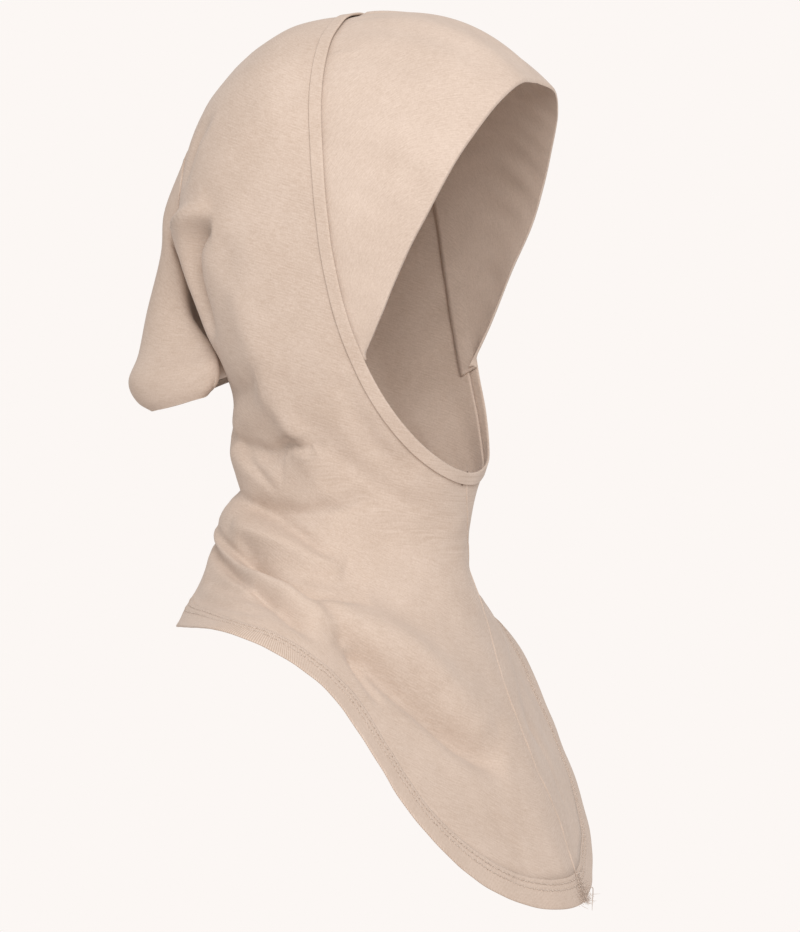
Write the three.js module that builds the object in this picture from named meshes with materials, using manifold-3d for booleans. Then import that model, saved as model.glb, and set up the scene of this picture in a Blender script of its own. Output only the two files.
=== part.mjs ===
// Ninja underscarf: a one-size jersey hood that covers hair, ears, neck and shoulders and leaves
// the face open. Millimetres, +Z up. The wearer faces -Y and the wearer's right hand is at -X.
// The origin is the crown seat, where the top of a head touches the inside of the cloth.
import * as THREE from 'three';
import Module from 'manifold-3d';

// Driving dimensions
const CLOTH = 1.2; // wall of the single jersey
const HEM_PROUD = 0.4; // how far a turned hem stands out of the cloth beside it
const HEM_WALL = 2.2; // wall of a turned hem, two layers of jersey and its stitches
const FACE_HEM_WIDTH = 6;
const BOTTOM_HEM_WIDTH = 14;
const BAND_WALL = 2; // wall of the doubled forehead band
const BAND_TUCK = 9; // how far the band runs in under the hood
const BAND_RISE = 0.03; // slope at which the band leaves the hood's edge
const CHEEK = 0.135; // how far round the face edge the band ends, 0 at the chin, 0.5 at the crown
const EDGE_TURN = 0.8; // how far the flat of a hem stays back from its folded edge
const GAP = 0.3; // space kept between neighbouring pieces
const SEAT_DEPTH = 4; // from the top of the cloth down to the crown seat
// The pouch's oval mouth: lap and lift set the pouch's rim round it, and the cut reaches back from
// inside the head through the hood
const MOUTH = { halfWidth: 45, halfHeight: 26, height: -86, lap: 2, lift: 0.3, inside: 60, reach: 70 };

// How finely the cloth is cut into facets
const AROUND = 72;
const HOOD_ROWS = [0, 0.07, 0.14, 0.21, 0.27, 0.32, 0.37, 0.41, 0.45, 0.49, 0.53, 0.57, 0.61,
  0.645, 0.68, 0.715, 0.75, 0.785, 0.82, 0.855, 0.89, 0.925, 0.96, 1];
const BAND_STEPS = 40;
const POUCH_AROUND = 32;
const POUCH_STEPS = 13;

// The hood is lofted through these rings. A station is [half width, forward, height]: forward of
// the crown, and height from the top of the cloth. The stations of a ring are evenly spaced from
// centre back to centre front, and the other half mirrors them.
const RINGS = [
  { name: 'face edge', stations: [[0, -8, 0.5], [56, -3, -34], [75.5, 7, -92], [65, 25.5, -176],
    [0, 48, -221]] },
  { name: 'crown', stations: [[0, -44, -6], [64, -33, -43], [76.5, -14, -98], [67, 12, -184],
    [0, 46, -230]] },
  { name: 'back of head', stations: [[0, -79, -33.5], [62.5, -63, -67], [76, -36, -110],
    [66, 1, -191], [0, 44.5, -238]] },
  { name: 'occiput', stations: [[0, -94, -78], [56, -78, -103], [73, -47, -131], [64, -8, -198],
    [0, 43.5, -246]] },
  { name: 'top of nape', stations: [[0, -84, -130], [50, -68, -151], [66, -41, -171],
    [59, -3, -215], [0, 42.5, -254]] },
  { name: 'nape', stations: [[0, -70, -178], [43, -56.5, -187], [58, -27, -203], [52, 7, -236],
    [0, 42.5, -262]] },
  { name: 'neck', stations: [[0, -68, -218], [41, -54, -223], [56, -15, -234], [47, 18, -257],
    [0, 43.5, -272]] },
  { name: 'low neck', stations: [[0, -74, -246], [49, -57, -251], [65, -10, -260],
    [49, 29, -280], [0, 49, -290]] },
  { name: 'neck base', stations: [[0, -81, -268], [66, -60, -273], [95, -6, -277],
    [62, 40, -302], [0, 58, -316]] },
  { name: 'shoulder', stations: [[0, -82, -281], [56, -74.5, -283.5], [97, -47, -284],
    [118, -14, -285.5], [113, 10, -294], [94, 33, -317], [70, 54, -343], [33, 70, -354],
    [0, 76, -356]] },
  { name: 'bottom edge', stations: [[0, -78, -291], [61, -75.5, -293.5], [112, -48, -292],
    [140, -13.5, -292.5], [128, 19.5, -309], [111, 45.5, -346], [91.5, 71.5, -391.5],
    [42, 93.5, -422], [0, 101.5, -427.5]] },
];

// Folds raised on the hood along a curve through three points of it, each [round, down]: round is
// 0 at centre front and 0.5 at centre back on the right, 1 at centre front again on the left, and
// down runs from the face edge, 0, to the bottom edge, 1. A negative height is a crease.
const FOLDS = [
  { name: 'shoulder crease', width: 9, height: -4,
    path: [[0.396, 0.733], [0.286, 0.792], [0.238, 0.883]] },
  { name: 'shoulder roll', width: 11, height: 5, path: [[0.48, 0.715], [0.3, 0.765], [0.2, 0.85]] },
  { name: 'low neck crease', width: 10, height: -3.5,
    path: [[0.42, 0.69], [0.279, 0.738], [0.161, 0.715]] },
  { name: 'neck roll', width: 11, height: 4, path: [[0.49, 0.655], [0.3, 0.69], [0.19, 0.68]] },
  { name: 'neck crease', width: 10, height: -3, path: [[0.47, 0.62], [0.31, 0.647], [0.209, 0.69]] },
  { name: 'nape roll', width: 11, height: 4, path: [[0.5, 0.55], [0.38, 0.575], [0.28, 0.57]] },
  { name: 'jaw crease', width: 11, height: -3, path: [[0.38, 0.545], [0.265, 0.535], [0.111, 0.338]] },
  { name: 'bib drape', width: 12, height: -4.5, path: [[0.2, 0.835], [0.12, 0.85], [0.045, 0.905]] },
  { name: 'bib swell', width: 14, height: 3, path: [[0.17, 0.8], [0.1, 0.81], [0.035, 0.87]] },
  { name: 'ear roll', width: 9, height: 4.5, path: [[0.32, 0.245], [0.372, 0.33], [0.358, 0.42]] },
  { name: 'ear crease', width: 8, height: -3, path: [[0.305, 0.255], [0.35, 0.33], [0.335, 0.405]] },
  { name: 'left shoulder crease', width: 9, height: -3.5,
    path: [[0.57, 0.74], [0.7, 0.79], [0.78, 0.88]] },
  { name: 'left shoulder roll', width: 11, height: 4.5,
    path: [[0.55, 0.71], [0.69, 0.76], [0.81, 0.85]] },
  { name: 'left neck crease', width: 10, height: -3, path: [[0.57, 0.64], [0.69, 0.66], [0.8, 0.7]] },
  { name: 'left neck roll', width: 11, height: 3.5, path: [[0.55, 0.59], [0.66, 0.59], [0.76, 0.6]] },
  { name: 'left bib drape', width: 12, height: -3.5,
    path: [[0.79, 0.83], [0.88, 0.85], [0.955, 0.91]] },
  { name: 'left ear roll', width: 9, height: 4, path: [[0.69, 0.26], [0.64, 0.33], [0.65, 0.4]] },
];

// The free front edge of the forehead band, from the middle of the forehead to the cheek
const BAND_EDGE = [[0, 81.5, -35], [22, 82, -37.5], [38, 77.5, -48], [50, 69.5, -64.5],
  [58.5, 62, -81], [64, 53.5, -100], [66, 42, -122], [67, 31, -148], [68.5, 22.5, -168]];

// Sections of the hair pouch below its mouth, each an oval between a back and a front point
// given as [forward, height]. Lean lifts the wearer's left side of the oval over the right.
const POUCH = [
  { name: 'under the mouth', back: [-99.5, -88], front: [-92, -120], halfWidth: 40, lean: 0 },
  { name: 'waist', back: [-102, -115], front: [-88.5, -129], halfWidth: 37, lean: 0 },
  { name: 'body', back: [-110.5, -145], front: [-91, -149], halfWidth: 34, lean: 1 },
  { name: 'flare', back: [-118.5, -165], front: [-91, -165], halfWidth: 38, lean: 3 },
  { name: 'belly', back: [-121.5, -178], front: [-88, -173], halfWidth: 46, lean: 5 },
  { name: 'turn', back: [-117, -186.5], front: [-92, -180.5], halfWidth: 45.5, lean: 6 },
  { name: 'bottom edge', back: [-107, -188.5], front: [-103, -187.5], halfWidth: 42, lean: 6.5 },
];

const place = ([width, forward, height]) => new THREE.Vector3(-width, -forward, height + SEAT_DEPTH);
const mix = (a, b, t) => a.clone().lerp(b, t);

// The smooth curve through the points that pointAt gives for 0 to last, at t from 0 to 1
function along(last, pointAt, t) {
  const i = Math.min(Math.max(Math.floor(t * last), 0), last - 1);
  const s = t * last - i;
  const [here, next] = [pointAt(i), pointAt(i + 1)];
  const before = i > 0 ? pointAt(i - 1) : here.clone().multiplyScalar(2).sub(next);
  const after = i + 1 < last ? pointAt(i + 2) : next.clone().multiplyScalar(2).sub(here);
  return before.multiplyScalar((2 * s * s - s ** 3 - s) / 2)
    .addScaledVector(here, (2 - 5 * s * s + 3 * s ** 3) / 2)
    .addScaledVector(next, (s + 4 * s * s - 3 * s ** 3) / 2)
    .addScaledVector(after, (s ** 3 - s * s) / 2);
}

// The smoothest closed curve through evenly spaced stations and their mirror images: a sum of
// sines for the width and of cosines for the rest
function harmonics(stations) {
  const front = [...stations].reverse();
  const n = front.length - 1;
  const ends = (k) => (k === 0 || k === n ? 0.5 : 1);
  return front.map((_, k) => [0, 1, 2].map((axis) => (2 / n) * front.reduce((sum, station, j) => {
    const turn = (Math.PI * k * j) / n;
    return sum + station[axis] * (axis === 0 ? Math.sin(turn) : ends(k) * ends(j) * Math.cos(turn));
  }, 0)));
}

const ringHarmonics = RINGS.map((ring) => harmonics(ring.stations));

// A ring's point at u from 0 at centre front round the wearer's right side to 1
function ringPoint(ring, u) {
  const value = [0, 0, 0];
  ringHarmonics[ring].forEach(([width, forward, height], k) => {
    const [sine, cosine] = [Math.sin(2 * Math.PI * k * u), Math.cos(2 * Math.PI * k * u)];
    value[0] += width * sine;
    value[1] += forward * cosine;
    value[2] += height * cosine;
  });
  return place(value);
}

// The outer face of the cloth before its folds
function smoothCloth(u, v) {
  return along(RINGS.length - 1, (ring) => ringPoint(ring, u), v);
}

// A point's place and outward normal on a surface of two parameters
function frameOn(surface, u, v) {
  const step = 1e-3;
  const round = surface(u + step, v).sub(surface(u - step, v));
  const down = surface(u, v + step).sub(surface(u, v - step));
  const normal = round.clone().cross(down).normalize();
  return { point: surface(u, v), normal, round, down: down.divideScalar(2 * step) };
}

const foldLines = FOLDS.map(({ width, height, path }) => {
  const steps = 14;
  const line = [];
  for (let i = 0; i <= steps; i += 1) {
    const t = i / steps;
    const [a, b, c] = [(1 - t) * (1 - 2 * t), 4 * t * (1 - t), t * (2 * t - 1)];
    line.push(smoothCloth(...[0, 1].map((k) => a * path[0][k] + b * path[1][k] + c * path[2][k])));
  }
  return { width, height, line };
});

// Each fold's section is a bell curve across its path, and the fold fades out at both ends
const stretch = new THREE.Line3();
const footprint = new THREE.Vector3();
function foldHeight(point) {
  let sum = 0;
  for (const { width, height, line } of foldLines) {
    let nearest = Infinity;
    let passed = 0;
    for (let i = 0; i + 1 < line.length; i += 1) {
      stretch.set(line[i], line[i + 1]);
      const t = stretch.closestPointToPointParameter(point, true);
      const gap = stretch.at(t, footprint).distanceTo(point);
      if (gap < nearest) {
        nearest = gap;
        passed = (i + t) / (line.length - 1);
      }
    }
    sum += height * Math.exp(-((nearest / width) ** 2)) * Math.sin(Math.PI * (0.08 + 0.84 * passed));
  }
  return sum;
}

function cloth(u, v) {
  const { point, normal } = frameOn(smoothCloth, u, v);
  return point.addScaledVector(normal, foldHeight(point));
}

// How far down the cloth a line lies that runs a distance in mm beside the edge at v
function beside(u, v, distance) {
  const { round, down } = frameOn(smoothCloth, u, v);
  return v + distance / round.normalize().cross(down).length();
}

const fromFace = (u, distance) => beside(u, 0.002, distance);
const fromBottom = (u, distance) => beside(u, 0.998, -distance);
const offset = ({ point, normal }, out) => point.clone().addScaledVector(normal, out);
const onCloth = (u, v, out) => offset(frameOn(cloth, u, v), out);

// A closed body from a grid of points: each row is a closed loop. The rows close on themselves
// too, or the first and last rows are covered by a strip that joins their two halves.
function body(rows, closes) {
  const points = rows.flat();
  const size = rows[0].length;
  const index = [];
  const quad = (a, b, c, d) => {
    const slants = points[a].distanceTo(points[c]) > points[b].distanceTo(points[d]);
    index.push(...(slants ? [a, b, d, b, c, d] : [a, b, c, a, c, d]));
  };
  const stop = closes ? rows.length : rows.length - 1;
  for (let i = 0; i < stop; i += 1) {
    const [here, next] = [i * size, ((i + 1) % rows.length) * size];
    for (let j = 0; j < size; j += 1) {
      quad(here + j, here + ((j + 1) % size), next + ((j + 1) % size), next + j);
    }
  }
  if (!closes) {
    for (const [start, turned] of [[0, true], [(rows.length - 1) * size, false]]) {
      for (let j = 0; j < size / 2 - 1; j += 1) {
        const corners = [j, j + 1, size - 2 - j, size - 1 - j].map((k) => start + k);
        quad(...(turned ? corners.reverse() : corners));
      }
    }
  }
  let volume = 0;
  for (let i = 0; i < index.length; i += 3) {
    volume += points[index[i]].dot(points[index[i + 1]].clone().cross(points[index[i + 2]]));
  }
  if (volume < 0) index.reverse();
  const geometry = new THREE.BufferGeometry().setFromPoints(points);
  return geometry.setIndex(index).toNonIndexed();
}

const loop = (count, make) => Array.from({ length: count }, (_, i) => make(i / count));
const walk = (count, make) => Array.from({ length: count + 1 }, (_, i) => make(i / count));

// Hood: one cloth from the face edge over crown, back of the head and neck to the shoulders
function hood() {
  return body(loop(AROUND, (u) => {
    const top = fromFace(u, FACE_HEM_WIDTH + GAP);
    const bottom = fromBottom(u, BOTTOM_HEM_WIDTH + GAP);
    const line = HOOD_ROWS.map((w) => frameOn(cloth, u, top + (bottom - top) * w));
    return [...line.map((at) => offset(at, 0)), ...line.map((at) => offset(at, -CLOTH)).reverse()];
  }), true);
}

// Hems: the cloth's edge turned in and stitched down, a flat loop with a rounded fold
function hem(width, from) {
  return body(loop(AROUND, (u) => {
    const at = (distance, out) => onCloth(u, from(u, distance), out);
    const inner = HEM_PROUD - HEM_WALL;
    return [at(width, HEM_PROUD), at(EDGE_TURN, HEM_PROUD), at(0, HEM_PROUD - HEM_WALL / 2),
      at(EDGE_TURN, inner), at(width, inner)];
  }), true);
}

// Forehead band: from its tuck under the hood it leaves the face edge in line with the cloth and
// follows a circular arc to its own front edge
function bandFace(s, t, depth) {
  const u = 0.5 - s * (0.5 - CHEEK);
  const under = HEM_PROUD - HEM_WALL - GAP - depth;
  if (t < 0) return onCloth(u, fromFace(u, -t), under);
  const start = onCloth(u, 0, under);
  const { down, normal } = frameOn(cloth, u, 0.004);
  const leave = down.normalize().negate().addScaledVector(normal, BAND_RISE).normalize();
  const edge = (i) => new THREE.Vector3(...BAND_EDGE[i]);
  const [width, forward, height] = along(BAND_EDGE.length - 1, edge, Math.abs(s)).toArray();
  const end = place([width * Math.sign(s), forward, height]).addScaledVector(normal, -depth);
  const chord = end.clone().sub(start);
  const bulge = leave.clone().sub(chord.clone().multiplyScalar(leave.dot(chord) / chord.lengthSq()));
  return mix(start, end, t).addScaledVector(bulge, t * (1 - t) * chord.length());
}

function foreheadBand() {
  const across = [-BAND_TUCK, -BAND_TUCK / 2, 0, 0.12, 0.26, 0.42, 0.58, 0.74, 0.88, 1];
  return body(walk(BAND_STEPS, (w) => {
    const s = 2 * w - 1;
    const side = (depth) => across.map((t) => bandFace(s, t, depth));
    return [...side(0), ...side(BAND_WALL).reverse()];
  }), false);
}

// Hair pouch: a bag that hangs from the back of the head, open into the hood through its mouth
const mouthPoints = new Map();
function mouthPoint(angle) {
  if (mouthPoints.has(angle)) return mouthPoints.get(angle).clone();
  const width = (MOUTH.halfWidth + MOUTH.lap) * Math.cos(angle);
  const height = MOUTH.height + SEAT_DEPTH + (MOUTH.halfHeight + MOUTH.lap) * Math.sin(angle);
  let [u, v] = [0.5 - width / 400, 0.3];
  for (let i = 0; i < 12; i += 1) {
    const step = 1e-3;
    const at = cloth(u, v);
    const du = cloth(u + step, v).sub(at).divideScalar(step);
    const dv = cloth(u, v + step).sub(at).divideScalar(step);
    const [ex, ez] = [-width - at.x, height - at.z];
    const det = du.x * dv.z - dv.x * du.z;
    u += (ex * dv.z - ez * dv.x) / det;
    v += (ez * du.x - ex * du.z) / det;
  }
  mouthPoints.set(angle, onCloth(u, v, MOUTH.lift + CLOTH));
  return mouthPoint(angle);
}

function pouchOval({ back, front, halfWidth, lean }, angle) {
  const [forward, height] = [0, 1].map(
    (k) => (back[k] + front[k]) / 2 + ((back[k] - front[k]) / 2) * Math.sin(angle));
  return place([halfWidth * Math.cos(angle), forward, height - lean * Math.cos(angle)]);
}

function pouchPoint(w, a) {
  const angle = 2 * Math.PI * a;
  return along(POUCH.length, (i) => (i === 0 ? mouthPoint(angle) : pouchOval(POUCH[i - 1], angle)), w);
}

function hairPouch() {
  const inside = (w, a) => {
    const step = 2e-3;
    const round = pouchPoint(w, a + step).sub(pouchPoint(w, a - step));
    const down = pouchPoint(Math.min(w + step, 1), a).sub(pouchPoint(Math.max(w - step, 0), a));
    return pouchPoint(w, a).addScaledVector(down.cross(round).normalize(), -CLOTH);
  };
  const ring = (make) => loop(POUCH_AROUND, (a) => make(a + 0.5 / POUCH_AROUND));
  const outer = walk(POUCH_STEPS, (w) => ring((a) => pouchPoint(w, a)));
  const inner = walk(POUCH_STEPS, (w) => ring((a) => inside(Math.min(w, 0.985), a)));
  return body([...inner.reverse(), ...outer], false);
}

const wasm = await Module();
wasm.setup();

function solid(geometry) {
  const vertProperties = [];
  const triVerts = [];
  const seen = new Map();
  const spots = geometry.getAttribute('position');
  for (let i = 0; i < spots.count; i += 1) {
    const corner = [spots.getX(i), spots.getY(i), spots.getZ(i)];
    const key = corner.map((value) => value.toFixed(4)).join();
    if (!seen.has(key)) {
      seen.set(key, seen.size);
      vertProperties.push(...corner);
    }
    triVerts.push(seen.get(key));
  }
  return new wasm.Manifold(new wasm.Mesh({
    numProp: 3, vertProperties: new Float32Array(vertProperties), triVerts: new Uint32Array(triVerts),
  }));
}

function geometryOf(manifold) {
  const { vertProperties, triVerts } = manifold.getMesh();
  const geometry = new THREE.BufferGeometry();
  geometry.setAttribute('position', new THREE.BufferAttribute(vertProperties, 3));
  return geometry.setIndex(new THREE.BufferAttribute(triVerts, 1));
}

// The oval through the back of the hood that opens it into the pouch
function mouthCutter() {
  const oval = new THREE.Shape().absellipse(0, 0, MOUTH.halfWidth, MOUTH.halfHeight, 0, 2 * Math.PI);
  const shape = { depth: MOUTH.reach, bevelEnabled: false, curveSegments: 18 };
  const cutter = new THREE.ExtrudeGeometry(oval, shape);
  const far = MOUTH.inside + MOUTH.reach;
  return cutter.rotateX(Math.PI / 2).translate(0, far, MOUTH.height + SEAT_DEPTH);
}

const jersey = { color: 0xd3bba8, roughness: 0.85, metalness: 0 };
const pieces = {
  hood: geometryOf(solid(hood()).subtract(solid(mouthCutter()))),
  forehead_band: foreheadBand(),
  hair_pouch: hairPouch(),
  face_hem: hem(FACE_HEM_WIDTH, fromFace),
  bottom_hem: hem(BOTTOM_HEM_WIDTH, fromBottom),
};

const underscarf = new THREE.Group();
for (const [name, geometry] of Object.entries(pieces)) {
  geometry.computeVertexNormals();
  const mesh = new THREE.Mesh(geometry, new THREE.MeshStandardMaterial(jersey));
  mesh.name = name;
  underscarf.add(mesh);
}

export default underscarf;
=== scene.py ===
import bpy
import numpy as np
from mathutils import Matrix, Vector


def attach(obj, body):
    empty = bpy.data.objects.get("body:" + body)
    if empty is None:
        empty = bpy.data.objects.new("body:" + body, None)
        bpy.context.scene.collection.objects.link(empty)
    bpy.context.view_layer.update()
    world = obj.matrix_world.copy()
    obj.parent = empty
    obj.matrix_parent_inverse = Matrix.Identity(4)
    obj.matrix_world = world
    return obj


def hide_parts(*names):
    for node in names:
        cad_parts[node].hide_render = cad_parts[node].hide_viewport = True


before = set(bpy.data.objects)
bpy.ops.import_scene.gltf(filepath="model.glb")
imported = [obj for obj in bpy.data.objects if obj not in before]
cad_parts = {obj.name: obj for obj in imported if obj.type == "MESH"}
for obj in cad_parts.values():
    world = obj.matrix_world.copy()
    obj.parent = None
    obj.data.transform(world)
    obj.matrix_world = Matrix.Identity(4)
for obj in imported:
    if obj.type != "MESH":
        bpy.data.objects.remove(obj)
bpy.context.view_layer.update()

# Hood: one cloth of beige viscose single jersey, cut in two halves and joined down the centre
# front under the chin. It is pulled over the head, so it is smooth over the skull, lies in soft
# rolls round the neck and spreads over the shoulders to a rounded bib.

# Sizes in mm: the cloth's wall, the crown seat's depth under the top of the cloth, the widths of
# both hems and how far the hood reaches under them
CLOTH = 1.2
SEAT_DEPTH = 4
FACE_HEM_WIDTH = 6
BOTTOM_HEM_WIDTH = 14
HEM_LAP = 1
# The oval hole at the back of the head that opens into the pouch, and the pouch's lap round it
MOUTH = {"half_width": 45, "half_height": 26, "height": -86, "lap": 2}
# Steps round and down the hood, how much finer they are at the front and at the neck, and the
# phase in radians that puts the finer stretch at the neck
HOOD_AROUND = 300
HOOD_DOWN = 160
FRONT_FINER = 0.25
NECK_FINER = 0.55
NECK_PHASE = 1
# The rounded skull that the courses lie level on, and where down the hood they leave it
SKULL = {"radius": 75, "back_from": 20, "height": -85, "neck_round": 456, "until": 0.4, "over": 0.2}

# Rings of the hood from the face edge to the bottom edge. A station is half width, forward of
# the crown, and height from the top of the cloth, evenly spaced from centre back to centre front
RINGS = {
    "face edge": [(0, -8, 0.5), (56, -3, -34), (75.5, 7, -92), (65, 25.5, -176), (0, 48, -221)],
    "crown": [(0, -44, -6), (64, -33, -43), (76.5, -14, -98), (67, 12, -184), (0, 46, -230)],
    "back of head": [(0, -79, -33.5), (62.5, -63, -67), (76, -36, -110), (66, 1, -191), (0, 44.5, -238)],
    "occiput": [(0, -94, -78), (56, -78, -103), (73, -47, -131), (64, -8, -198), (0, 43.5, -246)],
    "top of nape": [(0, -84, -130), (50, -68, -151), (66, -41, -171), (59, -3, -215), (0, 42.5, -254)],
    "nape": [(0, -70, -178), (43, -56.5, -187), (58, -27, -203), (52, 7, -236), (0, 42.5, -262)],
    "neck": [(0, -68, -218), (41, -54, -223), (56, -15, -234), (47, 18, -257), (0, 43.5, -272)],
    "low neck": [(0, -74, -246), (49, -57, -251), (65, -10, -260), (49, 29, -280), (0, 49, -290)],
    "neck base": [(0, -81, -268), (66, -60, -273), (95, -6, -277), (62, 40, -302), (0, 58, -316)],
    "shoulder": [(0, -82, -281), (56, -74.5, -283.5), (97, -47, -284), (118, -14, -285.5),
                 (113, 10, -294), (94, 33, -317), (70, 54, -343), (33, 70, -354), (0, 76, -356)],
    "bottom edge": [(0, -78, -291), (61, -75.5, -293.5), (112, -48, -292), (140, -13.5, -292.5),
                    (128, 19.5, -309), (111, 45.5, -346), (91.5, 71.5, -391.5), (42, 93.5, -422),
                    (0, 101.5, -427.5)],
}

# Folds along a curve through three points of the hood, each (round, down): width of the bell
# section in mm, height in mm (a crease is negative) and the three points
FOLDS = {
    "shoulder crease": (9, -4, (0.396, 0.733), (0.286, 0.792), (0.238, 0.883)),
    "shoulder roll": (11, 5, (0.48, 0.715), (0.3, 0.765), (0.2, 0.85)),
    "low neck crease": (10, -3.5, (0.42, 0.69), (0.279, 0.738), (0.161, 0.715)),
    "neck roll": (11, 4, (0.49, 0.655), (0.3, 0.69), (0.19, 0.68)),
    "neck crease": (10, -3, (0.47, 0.62), (0.31, 0.647), (0.209, 0.69)),
    "nape roll": (11, 4, (0.5, 0.55), (0.38, 0.575), (0.28, 0.57)),
    "jaw crease": (11, -3, (0.39, 0.555), (0.335, 0.555), (0.26, 0.535)),
    "bib drape": (12, -4.5, (0.2, 0.835), (0.12, 0.85), (0.045, 0.905)),
    "bib swell": (14, 3, (0.17, 0.8), (0.1, 0.81), (0.035, 0.87)),
    "ear roll": (9, 4.5, (0.32, 0.245), (0.372, 0.33), (0.358, 0.42)),
    "ear crease": (8, -3, (0.305, 0.255), (0.35, 0.33), (0.335, 0.405)),
    "left shoulder crease": (9, -3.5, (0.57, 0.74), (0.7, 0.79), (0.78, 0.88)),
    "left shoulder roll": (11, 4.5, (0.55, 0.71), (0.69, 0.76), (0.81, 0.85)),
    "left neck crease": (10, -3, (0.57, 0.64), (0.69, 0.66), (0.8, 0.7)),
    "left neck roll": (11, 3.5, (0.55, 0.59), (0.66, 0.59), (0.76, 0.6)),
    "left bib drape": (12, -3.5, (0.79, 0.83), (0.88, 0.85), (0.955, 0.91)),
    "left ear roll": (9, 4, (0.69, 0.26), (0.64, 0.33), (0.65, 0.4)),
}

# Sharper creases, wrinkles and small rolls between the folds, written in the same way, some with
# more points
CREASES = {
    "deep shoulder crease": (2.6, -5, (0.49, 0.708), (0.34, 0.757), (0.258, 0.822)),
    "shoulder crease end": (4.2, -5, (0.29, 0.79), (0.255, 0.825), (0.236, 0.9)),
    "upper shoulder crease": (2.6, -4, (0.44, 0.693), (0.32, 0.737), (0.215, 0.783)),
    "upper shoulder crease end": (4.5, -3, (0.24, 0.775), (0.2, 0.8), (0.186, 0.85)),
    "small roll between": (4, 3, (0.45, 0.7), (0.33, 0.748), (0.24, 0.8)),
    "collar shade": (4.5, -5.5, (0.34, 0.7), (0.318, 0.725), (0.278, 0.75), (0.233, 0.768),
                     (0.205, 0.763), (0.16, 0.735)),
    "collar swell": (5, 3.5, (0.36, 0.68), (0.331, 0.69), (0.289, 0.703), (0.239, 0.715),
                     (0.191, 0.695)),
    "neck line": (3.4, -4, (0.44, 0.628), (0.3, 0.65), (0.215, 0.688)),
    "neck line swell": (7, 3, (0.42, 0.655), (0.29, 0.675), (0.2, 0.72)),
    "collar crease": (4.5, -3.4, (0.35, 0.633), (0.323, 0.633), (0.284, 0.633), (0.234, 0.613),
                      (0.139, 0.53), (0.081, 0.39)),
    "throat line": (2.6, -1.8, (0.39, 0.553), (0.351, 0.573), (0.324, 0.585), (0.294, 0.61)),
    "nape crease": (3.6, -4, (0.42, 0.552), (0.393, 0.555), (0.335, 0.555), (0.284, 0.542),
                    (0.163, 0.45), (0.113, 0.323)),
    "nape swell": (6, 1.4, (0.41, 0.535), (0.388, 0.527), (0.304, 0.503), (0.2, 0.42)),
    "nape notch": (3.6, -2.6, (0.54, 0.635), (0.47, 0.632), (0.4, 0.628)),
    "ear lobe crease": (5, -2.2, (0.41, 0.492), (0.37, 0.487), (0.27, 0.44), (0.18, 0.35)),
    "cheek hollow": (7, -3, (0.135, 0.08), (0.104, 0.118), (0.085, 0.147), (0.055, 0.13)),
    "shoulder wrinkle": (4, -2.6, (0.38, 0.79), (0.32, 0.81), (0.265, 0.835)),
    "hem wrinkle": (4, -2, (0.42, 0.855), (0.35, 0.87), (0.29, 0.89)),
    "bib valley": (3.6, -4, (0.183, 0.84), (0.181, 0.855), (0.179, 0.878), (0.168, 0.905)),
    "bib ridge": (5, 2.2, (0.165, 0.82), (0.128, 0.853), (0.095, 0.872)),
    "bib pocket": (4.5, -2, (0.105, 0.868), (0.068, 0.897), (0.034, 0.893)),
    "bib pocket lip": (6, 1.5, (0.1, 0.85), (0.066, 0.872), (0.035, 0.872)),
    "bib drape lip": (12, 4.5, (0.22, 0.78), (0.165, 0.802), (0.11, 0.82), (0.05, 0.875)),
    "bib drape under": (6, -7, (0.215, 0.83), (0.165, 0.852), (0.12, 0.866), (0.085, 0.89),
                        (0.045, 0.912)),
    "bib wrinkle": (2.2, -0.9, (0.08, 0.935), (0.062, 0.957), (0.04, 0.982)),
    "bib side wrinkle": (5, -1, (0.93, 0.86), (0.92, 0.91), (0.93, 0.96)),
    "pouch valley": (5, -3.4, (0.393, 0.18), (0.404, 0.22), (0.383, 0.262)),
    "roll beside the pouch": (4.5, 4.5, (0.312, 0.24), (0.35, 0.276), (0.382, 0.305), (0.4, 0.35)),
    "valley beside the roll": (4, -8, (0.3, 0.262), (0.325, 0.284), (0.346, 0.318), (0.357, 0.35),
                               (0.345, 0.4)),
    "dent under the roll": (9, -2, (0.28, 0.255), (0.25, 0.27), (0.22, 0.275)),
    "left pouch valley": (5, -3, (0.607, 0.18), (0.6, 0.22), (0.617, 0.262)),
    "left deep crease": (3.2, -3.4, (0.53, 0.712), (0.66, 0.76), (0.74, 0.82)),
    "left nape crease": (4.5, -3, (0.58, 0.56), (0.73, 0.535), (0.86, 0.37)),
    "left throat line": (3, -1.8, (0.64, 0.6), (0.7, 0.63), (0.78, 0.66)),
    "left collar shade": (5, -2.6, (0.7, 0.738), (0.76, 0.757), (0.83, 0.72)),
}

# How fast a fold dies away towards its ends
FOLD_FADE = 0.7
# Slow waves in the whole cloth: length and height in mm, and the direction each runs in
WAVES = [(34, 0.2, (0.3, 0.4, 0.9)), (23, 0.13, (0.8, -0.2, 0.55)), (16, 0.08, (-0.4, 0.7, 0.6)),
         (11, 0.05, (0.5, 0.5, -0.7))]


def placed(width, forward, height):
    """Metres in the part's frame: wearer's right is -X, forward is -Y, crown seat at the origin."""
    return np.stack([-width, -forward, height + SEAT_DEPTH], -1) / 1000


def harmonics(stations):
    """Sums through evenly spaced stations: sines of whole turns for the width, cosines for the rest."""
    front = np.array(stations[::-1], float)
    last = len(front) - 1
    k = np.arange(last + 1)
    turn = np.pi * np.outer(k, k) / last
    ends = np.where((k == 0) | (k == last), 0.5, 1)
    sines = 2 / last * np.sin(turn) @ front[:, :1]
    cosines = 2 / last * (ends[:, None] * np.cos(turn) * ends) @ front[:, 1:]
    return np.hstack([sines, cosines])


RING_SUMS = [harmonics(stations) for stations in RINGS.values()]


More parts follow.
